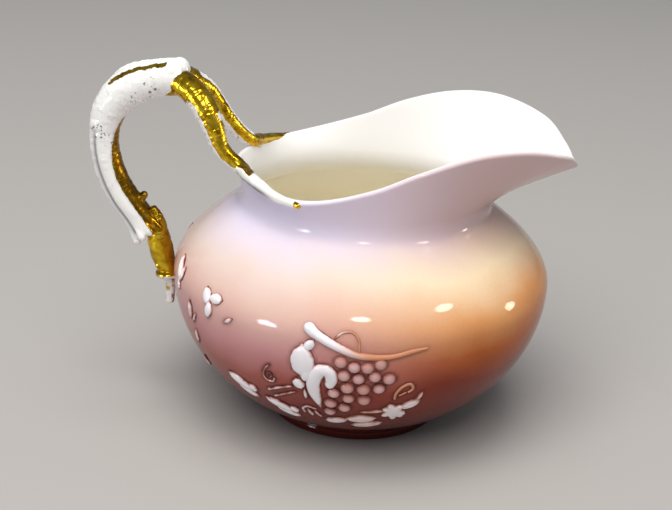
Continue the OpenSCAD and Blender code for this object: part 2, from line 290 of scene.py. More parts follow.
def placed(name, data):
    made = bpy.data.objects.new(name, data)
    bpy.context.scene.collection.objects.link(made)
    return made


def solid(name, points, faces):
    """Object from points in millimetres and faces, smooth shaded, in place of any of that name."""
    old = bpy.data.objects.get(name)
    if old is not None:
        bpy.data.objects.remove(old)
    mesh = bpy.data.meshes.new(name)
    mesh.from_pydata((np.asarray(points, float) * MM).tolist(), [], [list(f) for f in faces])
    mesh.validate()
    work = bmesh.new()
    work.from_mesh(mesh)
    bmesh.ops.recalc_face_normals(work, faces=work.faces[:])
    work.to_mesh(mesh)
    work.free()
    mesh.shade_smooth()
    return placed(name, mesh)


def grid_faces(rows, ring):
    """Faces between neighbouring rings of points, closed by a face at each end."""
    faces = []
    for i in range(rows - 1):
        for k in range(ring):
            a, b = i * ring + k, i * ring + (k + 1) % ring
            faces.append((a, b, b + ring, a + ring))
    faces.append(tuple(range(ring))[::-1])
    faces.append(tuple(range((rows - 1) * ring, rows * ring)))
    return faces


def tube(line, radii, across, sides=20, bulge=1.0):
    """Rod along a line, never along across, with a radius at each point and ends that bulge by a share."""
    line = np.asarray(line, float)
    radii = np.asarray(radii, float).reshape(-1)
    way = ways(line)
    head, foot = [], []
    for w in np.radians([90, 67, 45, 22]):
        reach, shrink = bulge * math.sin(w), max(math.cos(w), 0.08)
        head.append((line[0] - way[0] * radii[0] * reach, radii[0] * shrink, way[0]))
        foot.insert(0, (line[-1] + way[-1] * radii[-1] * reach, radii[-1] * shrink, way[-1]))
    stations = head + list(zip(line, radii, way)) + foot
    w = np.linspace(0, 2 * math.pi, sides, endpoint=False)[:, None]
    points = []
    for place, radius, along in stations:
        side = unit(np.cross(across, along))
        points.append(place + radius * (side * np.cos(w) + np.cross(along, side) * np.sin(w)))
    return np.concatenate(points), grid_faces(len(stations), sides)


def ball(centre, size, sides=20, rows=12):
    """Round lump with a size along each axis."""
    polar = np.radians(np.linspace(6, 174, rows))
    w = np.linspace(0, 2 * math.pi, sides, endpoint=False)
    points = [
        [math.sin(p) * math.cos(a), math.sin(p) * math.sin(a), math.cos(p)] for p in polar for a in w
    ]
    return np.array(centre) + np.array(size) * points, grid_faces(rows, sides)


def joined(parts):
    """Points and faces of several closed shapes as one list of each."""
    points, faces, count = [], [], 0
    for part_points, part_faces in parts:
        points.append(part_points)
        faces += [tuple(k + count for k in face) for face in part_faces]
        count += len(part_points)
    return np.concatenate(points), faces


def points_of(mesh):
    return np.array([v.co for v in mesh.vertices]) / MM


def modelled(name, parts, grain, softness):
    """One closed skin over several shapes that run into each other, as clay is worked together."""
    rough = solid(name + "_rough", *joined(parts))
    remesh = rough.modifiers.new("skin", "REMESH")
    remesh.mode = "VOXEL"
    remesh.voxel_size = grain * MM
    smooth = rough.modifiers.new("sponge", "SMOOTH")
    smooth.factor = 0.5
    smooth.iterations = softness
    depsgraph = bpy.context.evaluated_depsgraph_get()
    mesh = bpy.data.meshes.new_from_object(rough.evaluated_get(depsgraph))
    points = points_of(mesh)
    faces = [tuple(p.vertices) for p in mesh.polygons]
    bpy.data.objects.remove(rough)
    bpy.data.meshes.remove(mesh)
    return points, faces


def painted(obj, **values):
    """Stores a number for all points, or one per point, under each name for the glazes to read."""
    for name, value in values.items():
        layer = obj.data.attributes.get(name) or obj.data.attributes.new(name, "FLOAT", "POINT")
        layer.data.foreach_set("value", np.full(len(obj.data.vertices), value, np.float32))


PLACES = ("front", "back")


def mirrored(points):
    return points * [1, -1, 1]


def dressed(obj, material, slot, *nodes):
    """Gives a piece its material and its place on the jug, and hides the part's nodes that it stands for.
    """
    obj.data.materials.append(material)
    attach(obj, "root")
    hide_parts(*nodes)


# --- Materials ---


def linear(colour):
    """An sRGB hex colour, or one that is linear already, as linear red, green, blue and alpha."""
    if not isinstance(colour, str):
        return (*colour, 1.0)
    parts = [int(colour[i : i + 2], 16) / 255 for i in (1, 3, 5)]
    return tuple(c / 12.92 if c <= 0.04045 else ((c + 0.055) / 1.055) ** 2.4 for c in parts) + (1.0,)


def add_node(tree, kind, inputs=(), out=0, stops=(), **settings):
    """Adds a node with its settings and links, and gives its output of that name or number."""
    made = tree.nodes.new(kind)
    for name, value in settings.items():
        setattr(made, name, value)
    for i, (place, colour) in enumerate(stops):
        elements = made.color_ramp.elements
        element = elements[i] if i < len(elements) else elements.new(1.0)
        element.position = place
        element.color = linear(colour)
    for name, value in dict(inputs).items():
        if isinstance(value, bpy.types.NodeSocket):
            tree.links.new(value, made.inputs[name])
        else:
            made.inputs[name].default_value = value
    return made.outputs[out] if made.outputs else None


def material(name):
    """Material of that name without its nodes, what adds a node to it, and the place on the jug."""
    made = bpy.data.materials.get(name) or bpy.data.materials.new(name)
    made.use_nodes = True
    made.node_tree.nodes.clear()
    add = partial(add_node, made.node_tree)
    return made, add, add("ShaderNodeTexCoord", out="Object")


GLAZE_IOR = 1.45
# A thin glaze over a dark colour mirrors a pale room less than clear glass does
GLAZE_GLOSS = 0.22
# Slow waves in a dipped glaze, about 14 mm apart
GLAZE_WAVE = 14 * MM
# Orange peel of a fired glaze, about 1.2 mm apart
GLAZE_PEEL = 1.2 * MM


def fired(add, coords, colour, roughness, waves=0.08, metallic=0.0):
    """Adds the surface of a dipped and fired glaze over a colour, with its gentle unevenness."""
    wave, peel = (
        add("ShaderNodeTexNoise", {"Vector": coords, "Scale": 1 / width, "Detail": 1.0})
        for width in (GLAZE_WAVE, GLAZE_PEEL)
    )
    height = add("ShaderNodeMath", {0: peel, 1: 0.02, 2: wave}, operation="MULTIPLY_ADD")
    bump = add("ShaderNodeBump", {"Strength": waves, "Distance": 0.6 * MM, "Height": height})
    inputs = {"Base Color": colour, "Roughness": roughness, "Metallic": metallic, "Normal": bump}
    if metallic == 0.0:
        inputs |= {"IOR": GLAZE_IOR, "Specular IOR Level": GLAZE_GLOSS}
    shader = add("ShaderNodeBsdfPrincipled", inputs)
    add("ShaderNodeOutputMaterial", {"Surface": shader})


GROUND_TOP = 70 * MM
# Airbrushed ground from the foot up: height as a share of its top, where that is, and its colour on
# the handle's side and on the spout's
# The cream to maroon gradient is airbrushed paint. Its darkest stops at the foot are partly painted shade.
# The handle side's mauve and lavender are partly painted cool light, the spout side's tan partly painted
# warm light, and the spout side's darker neck is painted shade under the spout.
GROUND = {
    "foot": (0.03, "at the foot", "#6A241C", "#44120A"),
    "low": (0.25, "over the foot", "#78281E", "#661A0A"),
    "belly": (0.42, "under the widest place", "#A8564E", "#82280A"),
    "waist": (0.56, "at the widest place", "#D49A9C", "#BA5E20"),
    "shoulder": (0.7, "on the shoulder", "#E4C0B4", "#E8A66C"),
    "upper": (0.82, "under the neck", "#EAD6CE", "#F8E2BE"),
    "neck": (0.94, "on the neck", "#E8E2FA", "#DABFC2"),
}
SIDES = {"plum": "Handle side", "tan": "Spout side"}


def ground_glaze(colours):
    """Hand-airbrushed porcelain under clear glaze.

    The colour lies under glass, so it is soft at every border and the highlights on top are sharp.
    """
    made, add, coords = material("airbrushed_glazed_porcelain")
    x, z = (add("ShaderNodeSeparateXYZ", {0: coords}, axis) for axis in "XZ")
    # Drifts of the spray are about 22 mm across, its droplets 0.7 mm
    cloud, speck = (
        add("ShaderNodeTexNoise", {"Vector": coords, "Scale": 1 / (width * MM), "Detail": 2.0})
        for width in (22, 0.7)
    )
    drift = add("ShaderNodeMath", {0: cloud, 1: 9 * MM, 2: z}, operation="MULTIPLY_ADD")
    height = add("ShaderNodeMath", {0: speck, 1: 1.8 * MM, 2: drift}, operation="MULTIPLY_ADD")
    level = add("ShaderNodeMapRange", {0: height, 1: 5.4 * MM, 2: GROUND_TOP + 5.4 * MM})
    plum, tan = (
        add(
            "ShaderNodeValToRGB",
            {"Fac": level},
            stops=[(at, getattr(colours, f"{side}_{name}")) for name, (at, *_) in GROUND.items()],
        )
        for side in SIDES
    )
    # From the handle's side to the spout's: partly airbrushed tone, partly painted cool light on the
    # handle's side and painted warm light and shade on the spout's
    side = add("ShaderNodeMapRange", {0: x, 1: -28 * MM, 2: 34 * MM}, interpolation_type="SMOOTHSTEP")
    ground = add("ShaderNodeMix", {0: side, 6: plum, 7: tan}, 2, data_type="RGBA")
    near, inner = (
        add("ShaderNodeAttribute", out="Fac", attribute_name=name) for name in ("near_relief", "inner")
    )
    # The dark line round the relief, partly the painter's outline and partly painted shade at the relief's
    # foot, fades out towards the shoulder
    low = add("ShaderNodeMapRange", {0: z, 1: 46 * MM, 2: 34 * MM, 3: 0.12, 4: 0.8})
    # drawn carries that dark line of outline and painted shade
    drawn = add("ShaderNodeMath", {0: near, 1: low}, operation="MULTIPLY")
    outlined = add(
        "ShaderNodeMix", {0: drawn, 6: ground, 7: linear(colours.outline)}, 2, data_type="RGBA"
    )
    # Deep in the bowl the glaze turns from white to cream: painted shade of the bowl's depth
    deep = add("ShaderNodeMapRange", {0: z, 1: 0.0, 2: 90 * MM})
    within = add(
        "ShaderNodeValToRGB",
        {"Fac": deep},
        stops=[(0.05, colours.inside), (0.5, colours.inside), (0.76, colours.inner_wall)],
    )
    colour = add("ShaderNodeMix", {0: inner, 6: outlined, 7: within}, 2, data_type="RGBA")
    fired(add, coords, colour, 0.07)
    return made


def relief_glaze(colours):
    """White enamel brushed over moulded porcelain under clear glaze.

    It is thick and white on top of a leaf, thin and salmon at its edge, with a dark line at the foot that
    is partly the painter's outline and partly painted shade.
    """
    made, add, coords = material("enamelled_moulded_porcelain")
    x = add("ShaderNodeSeparateXYZ", {0: coords}, "X")
    # Brush marks are about 2.4 mm apart
    brush = add("ShaderNodeTexNoise", {"Vector": coords, "Scale": 1 / (2.4 * MM), "Detail": 2.0})
    rise, dry = (add("ShaderNodeAttribute", out="Fac", attribute_name=name) for name in ("rise", "dry"))
    coat = add("ShaderNodeMath", {0: brush, 1: 0.8, 2: rise}, operation="MULTIPLY_ADD")
    # The dark lowest stop is partly the painter's outline and partly painted shade where the relief meets
    # the bowl
    thick = add(
        "ShaderNodeValToRGB",
        {"Fac": add("ShaderNodeMapRange", {0: coat, 1: 0.4, 2: 1.6})},
        stops=[(0.1, colours.outline), (0.22, "#B5736A"), (0.36, "#E0BDBA"), (0.52, colours.enamel)],
    )
    # To the spout side the brush was nearly dry, so that the ground's salmon shows through
    side = add("ShaderNodeMapRange", {0: x, 1: -11 * MM, 2: 2 * MM}, interpolation_type="SMOOTHSTEP")
    bare = add("ShaderNodeMath", {0: side, 1: dry}, operation="MULTIPLY")
    colour = add("ShaderNodeMix", {0: bare, 6: thick, 7: linear(colours.dry_enamel)}, 2, data_type="RGBA")
    fired(add, coords, colour, 0.14)
    return made


def grape_glaze(colours):
    """Lustred moulded porcelain grapes, glossy: dusty pink with a paler top that is partly a painted
    highlight, and maroon in the gaps that is partly the painted outline and partly painted shade.
    """
    made, add, coords = material("lustred_moulded_porcelain")
    rise, tint = (add("ShaderNodeAttribute", out="Fac", attribute_name=name) for name in ("rise", "tint"))
    # Dark where a grape meets the bowl and its neighbours, pale on top: painted shade and a painted
    # highlight over the grape's pink
    grape_light_and_shade = add(
        "ShaderNodeValToRGB",
        {"Fac": add("ShaderNodeMapRange", {0: rise, 1: 0.0, 2: 1.6})},
        stops=[(0.1, "#4A1C18"), (0.34, "#8E4C48"), (0.62, colours.grape), (0.95, colours.grape_top)],
    )
    ripe = add("ShaderNodeMix", {0: tint, 6: grape_light_and_shade, 7: linear(colours.ripe_grape)}, 2, data_type="RGBA")
    fired(add, coords, ripe, 0.16)
    return made


def gilded_glaze(colours):
    """White glazed porcelain with brushed liquid gold.

    The gold is a thin bright film with a worn, streaky edge; bare glaze shows grey flecks of it.
    """
    made, add, coords = material("gilded_glazed_porcelain")
    # Brush streaks are 1.6 to 2.6 mm apart, flecks under 1 mm across
    edge, streak, fleck = (
        add("ShaderNodeTexNoise", {"Vector": coords, "Scale": 1 / (width * MM), "Detail": detail})
        for width, detail in ((1.6, 4.0), (2.6, 3.0), (0.9, 3.0))
    )
    gilt, stain, flecks = (
        add("ShaderNodeAttribute", out="Fac", attribute_name=name) for name in ("gilt", "stain", "flecks")
    )
    worn_edge = add("ShaderNodeMath", {0: edge, 1: 1.1, 2: gilt}, operation="MULTIPLY_ADD")
    film = add("ShaderNodeMapRange", {0: worn_edge, 1: 0.99, 2: 1.11})
    # Along the brush streaks the gold runs from a painted shade to a painted highlight of itself
    gold = add(
        "ShaderNodeValToRGB",
        {"Fac": streak},
        stops=[(0.3, colours.gold_shade), (0.46, colours.gold), (0.7, colours.gold_bright)],
    )
    # Gold turned umber by that attribute: painted shade on the stem's and the tail's inner sides and under
    # the front fork
    umber = add("ShaderNodeMix", {0: stain, 6: gold, 7: linear(colours.gold_umber)}, 2, data_type="RGBA")
    thick = add("ShaderNodeMath", {0: flecks, 1: 0.14, 2: fleck}, operation="MULTIPLY_ADD")
    worn = add("ShaderNodeMapRange", {0: thick, 1: 0.7, 2: 0.78})
    # White glaze greyed by that attribute: a painted reflection in the stem's groove, painted shade under
    # the front fork, and the stub's own faint grey tint
    stained = add(
        "ShaderNodeMix",
        {0: stain, 6: linear(colours.white_glaze), 7: linear(colours.groove)},
        2,
        data_type="RGBA",
    )
    white = add("ShaderNodeMix", {0: worn, 6: stained, 7: linear(colours.groove)}, 2, data_type="RGBA")
    colour = add("ShaderNodeMix", {0: film, 6: white, 7: umber}, 2, data_type="RGBA")
    roughness = add("ShaderNodeMapRange", {0: film, 3: 0.1, 4: 0.26})
    fired(add, coords, colour, roughness, 0.25, film)
    return made


# --- Body ---

TURNS = 360


def make_body(colours):
    lines, inner = [], None
    for turn in np.arange(TURNS) * 360 / TURNS:
        line, inner = body_line(turn)
        a = math.radians(turn)
        lines.append(np.stack([line[:, 0] * math.cos(a), line[:, 0] * math.sin(a), line[:, 1]], 1))
    rows = np.stack(lines, 1)
    body = solid("jug", rows.reshape(-1, 3), grid_faces(len(rows), TURNS))
    painted(body, inner=np.repeat(inner, TURNS), near_relief=0)
    dressed(body, ground_glaze(colours), "ground_glaze", "jug_body")


# --- Handle ---

TWIG_STEPS = 8
KNOT_Z = BELLY_Z + 5
ARM_Z = rim_edge(180)[1] + HANDLE_RISE
DOWN_Y = np.array([0, 1, 0])


def on_handle(out, up, aside=0):
    """Place on the handle's middle plane, as shares of its reach and height, and a distance aside."""
    return np.array([-(BOWL_R + out * HANDLE_REACH), aside, mix(KNOT_Z, ARM_Z, up)])


# Share of the reach, share of the height, thickness as a share of the stem's
STEM = [
    [0.4, 0.1, 1.14],
    [0.55, 0.19, 1.06],
    [0.81, 0.345, 1.03],
    [0.965, 0.51, 1],
    [1, 0.665, 1],
    [0.915, 0.805, 1.16],
    [0.66, 0.925, 1.28],
    [0.27, 0.985, ARM_D / STEM_D],
    [-0.1, 1, 1.2],
]
STEM_LINE = through([on_handle(out, up) for out, up, _ in STEM], TWIG_STEPS)
STEM_SHARES = through([share for _, _, share in STEM], TWIG_STEPS)[:, 0]
# Distance out from the axis, height and thickness: a gilded rib that thins to a stub below a knot
TAIL = [
    [61.6, 60.4, 2.6],
    [60.0, 56.4, 4.6],
    [59.8, 52.4, 6.4],
    [59.0, 48.2, 7.2],
    [57.9, 44, 6.4],
    [56.8, 40.8, 4.8],
    [56.3, 38, 3.2],
    [56.2, 34, 2.8],
    [56.4, 31, 2.8],
]
TAIL_LINE = through([[-out, 0, up] for out, up, _ in TAIL], TWIG_STEPS)
TAIL_RADII = through([width / 2 for _, _, width in TAIL], TWIG_STEPS)[:, 0]


def search_tree(places):
    tree = kdtree.KDTree(len(places))
    for i, place in enumerate(places):
        tree.insert(Vector(place), i)
    tree.balance()
    return tree


def nearest(points, places):
    """For each point, the number of the nearest place."""
    tree = search_tree(places)
    return np.array([tree.find(Vector(p))[1] for p in points])


def bark(points, line, depth, length, around):
    """Pushes a twig's skin in and out along soft bark ridges that run lengthwise."""
    which = nearest(points, line)
    way = ways(line)[which]
    centre = line[which]
    away = points - centre
    away = away - way * np.sum(away * way, 1, keepdims=True)
    out = away / np.maximum(np.linalg.norm(away, axis=1, keepdims=True), 1e-6)
    # The noise is stretched along the twig
    along = np.sum(points * way, 1, keepdims=True) * way
    sample = (points - along) / around + along / length
    push = np.array([noise.noise(Vector(s)) for s in sample])
    return points + out * (push * depth)[:, None]


def side_of(points, line, radii, direction):
    """How far points lie towards a direction from a twig's middle, 1 on its skin, and share along it."""
    which = nearest(points, line)
    way = ways(line)[which]
    towards = np.asarray(direction, float)
    if towards.ndim == 2:
        towards = towards[which]
    away = points - line[which]
    away = away - way * np.sum(away * way, 1, keepdims=True)
    return np.sum(away * towards, 1) / radii[which], which / (len(line) - 1)


def make_stem(sizes, colours):
    way = ways(STEM_LINE)
    radii = STEM_SHARES * sizes.stem_width / MM / 2
    # Away from the finger gap, in the handle's own plane
    outward = np.stack([-way[:, 2], np.zeros(len(way)), way[:, 0]], 1)
    n = len(STEM_LINE)

    def beside(share, out, aside):
        i = round(share * (n - 1))
        return STEM_LINE[i] + (outward[i] * out + DOWN_Y * aside) * radii[i]

    twig = through(
        [
            beside(0.46, 0.35, 0.75),
            beside(0.6, 0.7, 0.5),
            beside(0.77, 0.84, 0.36),
            beside(0.9, 0.78, 0.2),
            beside(1, 0.75, 0.05),
        ],
        6,
    )
    parts = [
        tube(STEM_LINE, radii, DOWN_Y, sides=28, bulge=0.25),
        tube(twig, np.linspace(0.9, 1.6, len(twig)), [1, 0, 0.2]),
        ball(beside(0.95, 0.4, -0.1), [3.8, 4.2, 3.4]),
        ball(beside(0.985, 0.42, 0.1), [3.2, 3.8, 3.5]),
        ball(beside(0.775, -0.52, -0.15), [3.0, 3.6, 2.6]),
        ball(beside(0.865, -0.55, -0.1), [2.6, 3.4, 2.2]),
        ball(beside(0.94, -0.5, -0.35), [2.2, 2.4, 2.2]),
        ball(beside(0.685, -0.45, 0.1), [2.8, 3.4, 3.0]),
        # A knuckle at the outer bend
        ball(beside(0.55, 0.3, -0.2), [3.0, 3.6, 3.4]),
    ]
    # Cut twig ends on the inner side
    for share, size in ((0.17, 1.5), (0.04, 1.3)):
        start, tip = beside(share, -0.6, -0.1), beside(share, -1.12, -0.15) + [0, 0, 0.6]
        parts.append(tube(np.linspace(start, tip, 5), np.linspace(size, 0.8 * size, 5), DOWN_Y))
    # Broken ends of bark round the lower knot
    for aside in np.radians(np.arange(0, 360, 40)):
        ring = DOWN_Y * math.cos(aside)
        a, b = (
            STEM_LINE[i] + (ring + outward[i] * math.sin(aside)) * radii[i] * share
            for i, share in ((6, 0.84), (0, 0.92))
        )
        b = b - way[0] * (0.5 + 0.5 * math.cos(3 * aside))
        parts.append(tube(np.linspace(a, b, 7), np.linspace(0.7, 1.2, 7), DOWN_Y))
    points, faces = modelled("handle_stem_skin", parts, 0.3, 4)
    points = bark(points, STEM_LINE, sizes.bark_depth / MM, 9.0, 2.6)
    # Groove along the outer side of the stem
    out, share = side_of(points, STEM_LINE, radii, outward)
    front = side_of(points, STEM_LINE, radii, -DOWN_Y)[0]
    angle = np.degrees(np.arctan2(out, np.abs(front)))
    lower = ease(0.02, 0.06, share) * (1 - ease(0.46, 0.56, share))
    groove = np.exp(-(((angle - 36) / 9) ** 2)) * lower
    which = nearest(points, STEM_LINE)
    points = points - unit(points - STEM_LINE[which]) * (groove * 0.4)[:, None]
    stem = solid("handle_stem_wood", points, faces)
    # The gold on the inner side narrows upwards to a line
    narrow = 0.26 + 0.5 * ease(0.3, 0.62, share)
    inside = ease(0, 0.26, -out - narrow) * (1 - ease(0.6, 0.66, share))
    # The arm's end towards the mouth is gilded, and so is the hollow between the arm and its twig
    end = ease(-0.8, 0.8, points[:, 0] + 50.6 - (points[:, 2] - ARM_Z - 2)) * (share > 0.8)
    hollow = np.exp(-(((angle - 59) / 12) ** 2)) * ease(0.68, 0.74, share) * (1 - ease(0.92, 0.96, share))
    spots = (0.74, -0.5, -0.8), (0.86, -0.2, -0.95), (0.53, 0.4, -0.8), (0.5, -0.3, -0.9)
    flecks = sum(np.exp(-(np.linalg.norm(points - beside(*at), axis=1) / 3.2) ** 2) for at in spots)
    # Through the shade and stain attribute, the groove's grey is a painted reflection and the umber on the
    # gilded inner side is painted shade
    painted(
        stem,
        gilt=np.clip(inside + end + 0.85 * hollow * (front > 0), 0, 1),
        stain=np.clip(groove * 0.8 + 0.7 * inside, 0, 1),
        flecks=np.clip(flecks, 0, 1),
    )
    dressed(stem, gilded_glaze(colours), "white_glaze", "handle_stem")


def make_tail(sizes, colours):
    knot = TAIL_LINE[5 * TWIG_STEPS]
    parts = [
        tube(TAIL_LINE, TAIL_RADII, DOWN_Y, bulge=0.2),
        ball(knot + [-0.3, 0, -0.8], [3.7, 3.7, 1.5]),
        # Snapped twig on the knot
        tube(np.linspace(knot + [-1, -1, 0], knot + [-2.9, -2, 2.2], 4), np.linspace(1.1, 0.8, 4), DOWN_Y),
    ]
    points, faces = modelled("handle_tail_skin", parts, 0.26, 4)
    points = bark(points, TAIL_LINE, sizes.bark_depth / MM, 7.0, 2.0)
    tail = solid("handle_tail_wood", points, faces)
    inwards, share = side_of(points, TAIL_LINE, TAIL_RADII, [1, 0, 0])
    height = points[:, 2]
    below = 1 - ease(39.6, 41.2, height)
    shade = ease(0.1, 0.8, inwards) * ease(42, 46, height)
    # The inner side above the knot gets umber painted shade; the stub below the knot keeps a faint grey
    # tint of its own
    painted(tail, gilt=1 - 0.6 * below, stain=np.clip(0.12 * below + 0.6 * shade, 0, 1), flecks=0)
    dressed(tail, gilded_glaze(colours), "gilding", "handle_tail")


def on_rim(turn, lift):
    """Place over the rim's edge on the front side."""
    radius, height = rim_edge(turn) + [-0.3, lift]
    a = math.radians(-turn)
    return np.array([radius * math.cos(a), radius * math.sin(a), height])


# Each fork, as it stands on the front: places, and thickness as a share of a fork's
FORKS = {
    "front": [
        ([-53.6, -1.9, 98.8], 1), ([-49.8, -4.0, 96.8], 1),
        ([-46.0, -6.0, 92.2], 0.98), ([-43.4, -7.6, 87.0], 0.82),
        ([-41.0, -8.8, 81.4], 0.66), (on_rim(164, 1.6), 0.55),
        (on_rim(154, 0.9), 0.5), (on_rim(143, 0.6), 0.44),
        (on_rim(131, 0.4), 0.36), (on_rim(120, 0.2), 0.28),
    ],
    "back": [
        ([-53.4, -1.9, 99.4], 1), ([-49.8, -5.0, 96.8], 0.98),
        ([-46.6, -7.2, 94.0], 0.92), ([-43.9, -8.2, 90.2], 0.86),
        ([-40.9, -8.8, 85.8], 0.78), ([-37.4, -10.6, 81.4], 0.68),
        (on_rim(157, 2.4), 0.6), (on_rim(148, 1.2), 0.5),
        (on_rim(138, 0.7), 0.42), (on_rim(129, 0.4), 0.34),
        (on_rim(120, 0.2), 0.28),
    ],
}


def make_fork(sizes, colours, place):
    """The twig that leaves the arm's end and runs down to the rim and along it."""
    line = through([p for p, _ in FORKS[place]], TWIG_STEPS)
    radii = through([share * sizes.fork_width / MM / 2 for _, share in FORKS[place]], TWIG_STEPS)[:, 0]
    mouth = unit([0.9, -0.3, 0.35])
    # Knuckles under the arm, half way down and where the twig lands on the rim
    high, middle, low, landing = 6, 20, 27, TWIG_STEPS * (5 if place == "front" else 6)
    parts = [
        tube(line, radii, [1, 0, 0.1]),
        ball(line[high], [3.4, 3.0, 2.8]),
        ball(line[middle] + [0.8, 0, 0.4], [2.3, 2.4, 2.2]),
        ball(line[low] + [-0.5, 0, 0], [2.2, 2.2, 2.0]),
        ball(line[landing], [1.9, 1.9, 1.8]),
    ]
    points, faces = modelled(f"fork_{place}_skin", parts, 0.24, 4)
    points = bark(points, line, sizes.bark_depth / MM, 7.0, 2.2)
    towards, share = side_of(points, line, radii, mouth)
    root = 1 - ease(0.1, 0.2, share)
    gilt = np.maximum(ease(-0.5, 0.05, towards), root)
    if place == "front":
        worn = line[middle] + mouth * radii[middle]
        knuckle = np.exp(-((np.linalg.norm(points - worn, axis=1) / 1.9) ** 2))
        gilt = gilt * (1 - 0.95 * ease(0.66, 0.74, share)) + 0.8 * ease(0.975, 0.99, share) - 0.8 * knuckle
        # A brown line of painted shade where the twig lies on the rim
        under = ease(0.25, 0.6, side_of(points, line, radii, unit([0, -0.8, -0.6]))[0])
        under = under * ease(0.54, 0.6, share) * (1 - ease(0.8, 0.9, share))
    else:
        # Its upper edge is left white
        upper = side_of(points, line, radii, unit([0.6, -0.35, 0.7]))[0]
        gilt = gilt - ease(0.6, 0.85, upper) * ease(0.05, 0.12, share) * (1 - ease(0.55, 0.62, share))
        gilt = np.maximum(gilt, ease(0.6, 0.7, share)) * (1 - 0.95 * ease(0.92, 0.95, share))
        under = 0
        points = mirrored(points)
    fork = solid(f"fork_wood_{place}", points, faces)
    flecks = ease(0.2, 0.7, -towards) * (1 - ease(0.5, 0.6, share)) * ease(0.25, 0.35, share)
    painted(fork, gilt=np.clip(gilt, 0, 1), stain=np.clip(0.9 * under, 0, 1), flecks=0.6 * flecks)
    dressed(fork, gilded_glaze(colours), "gilding", f"fork_{place}")


# --- Vine relief ---


def lifted(radius, azimuth, z, lift):
    """Place at a radius, azimuth and height, moved off the bowl's surface by a lift."""
    lean = bowl_lean(z)
    rho, height = radius + lift * np.cos(lean), z + lift * np.sin(lean)
    return np.stack([rho * np.cos(azimuth), rho * np.sin(azimuth), height], -1)


def on_bowl(along, z, lift=0.0):
    """Place on the front of the bowl: distance round it from the middle, height, and lift off it."""
    radius = bowl_radius(z)
    return lifted(radius, along / radius - math.pi / 2, z, lift)


def rise_of(points):
    """Height of points above the bowl's surface."""
    x, y, z = points.T
    return (np.hypot(x, y) - bowl_radius(z)) * np.cos(bowl_lean(z))


# How deep a relief is set into the bowl
SINK = 0.5


def stroke(places, widths, heights, crease=0.0, steps=7):
    """Modelled line laid on the bowl through places, with its widths, heights and a crease along it."""
    flat = through(places, steps)
    line = on_bowl(flat[:, 0], flat[:, 1])
    half = through(widths, steps)[:, 0] / 2
    tall = through(np.broadcast_to(heights, len(places)), steps)[:, 0]
    way = ways(line)
    off = unit(on_bowl(flat[:, 0], flat[:, 1], 1.0) - line)
    stations = list(zip(line, half, tall, way, off))
    for end, back in ((0, -1), (-1, 1)):
        for w in np.radians([20, 40, 60, 80]):
            place = line[end] + back * way[end] * half[end] * math.sin(w)
            cap = (place, half[end] * math.cos(w), tall[end] * math.cos(w) ** 0.6, way[end], off[end])
            stations.insert(0 if end == 0 else len(stations), cap)
    across = np.cos(np.linspace(0, math.pi, 13))
    dome = np.maximum(1 - across**2, 0) ** 0.62
    fold = crease * np.exp(-((across / 0.2) ** 2))
    points = []
    for place, width, height, along, out in stations:
        side = unit(np.cross(out, along))
        top = place + side * (across * width)[:, None] + out * (height * (dome - fold) - 0.12)[:, None]
        under = place + side * (across[::-1] * width * 0.96)[1:-1, None] - out * SINK
        points.append(np.concatenate([top, under]))
    return np.concatenate(points), grid_faces(len(stations), len(points[0]))


def leaf(along, z, length, width, turn, height, crease=0.0, taper=0.0, full=0.5):
    """Leaf about a place, its tip turned from up the bowl: full 0.5 is oval, 1 is pointed at both ends."""
    v = np.linspace(-0.97, 0.97, 9)
    a = math.radians(turn)
    reach = length / 2 * v
    places = np.stack([along - reach * math.sin(a), z + reach * math.cos(a) * math.cos(bowl_lean(z))], 1)
    widths = width * (1 - v * v) ** full * (1 - taper * v)
    return stroke(places, np.maximum(widths, 0.25), height * (1 - v * v) ** 0.3 + 0.1, crease, steps=4)


def branch():
    yield stroke(
        [(-14.6, 46.6), (-8.4, 43.5), (-1.7, 40.9), (6.2, 40.7), (12.4, 42.1), (16.2, 42.7)],
        [3.0, 2.7, 2.1, 1.5, 1.3, 0.7],
        [1.5, 1.3, 1.1, 0.8, 0.6, 0.4],
    )
    yield stroke([(-15.2, 47.2), (-14.2, 46.4)], [3.4, 3.2], [1.75, 1.6])


def large_leaf():
    yield leaf(-16.9, 37.6, 9.6, 7.0, 2, 1.25, taper=0.1, full=0.45)
    yield leaf(-15.8, 33.6, 5.0, 3.4, -8, 1.1, full=0.7)


def curled_leaf():
    yield stroke(
        [(-9.1, 31.2), (-8.8, 33.4), (-9.8, 35.4), (-12.2, 35.3), (-13.6, 32.0), (-13.4, 28.0)]
        + [(-12.2, 24.4), (-11.2, 21.8)],
        [3.2, 3.8, 4.0, 4.2, 4.3, 3.9, 2.6, 0.7],
        [1.0, 1.2, 1.3, 1.3, 1.25, 1.1, 0.8, 0.5],
    )


def small_leaves():
    yield leaf(-15.2, 42.8, 3.8, 3.0, -36, 0.95)
    yield leaf(-17.7, 29.9, 3.8, 3.8, 24, 0.95)
    yield leaf(-15.7, 26.2, 4.6, 1.2, 8, 0.55, full=0.8)
    yield leaf(-14.0, 18.6, 4.6, 1.5, 24, 0.6, full=0.8)
    yield leaf(-11.7, 18.2, 4.6, 1.3, 34, 0.55, full=0.8)
    yield stroke([(-12.7, 20.6), (-14.9, 21.1), (-16.2, 19.8), (-15.6, 18.2)], [1.1, 1.1, 1, 0.8], 0.55)


def cluster_leaves():
    yield leaf(-6.7, 16.0, 6.4, 4.2, -74, 0.8, crease=0.2, full=0.6)
    yield leaf(0.0, 17.6, 8.0, 4.4, -84, 1.0, crease=0.2, full=0.6)
    yield leaf(1.8, 14.6, 8.8, 4.2, -74, 0.9, crease=0.3, full=0.7)
    yield leaf(3.6, 21.2, 8.6, 1.3, -82, 0.5, full=0.7)


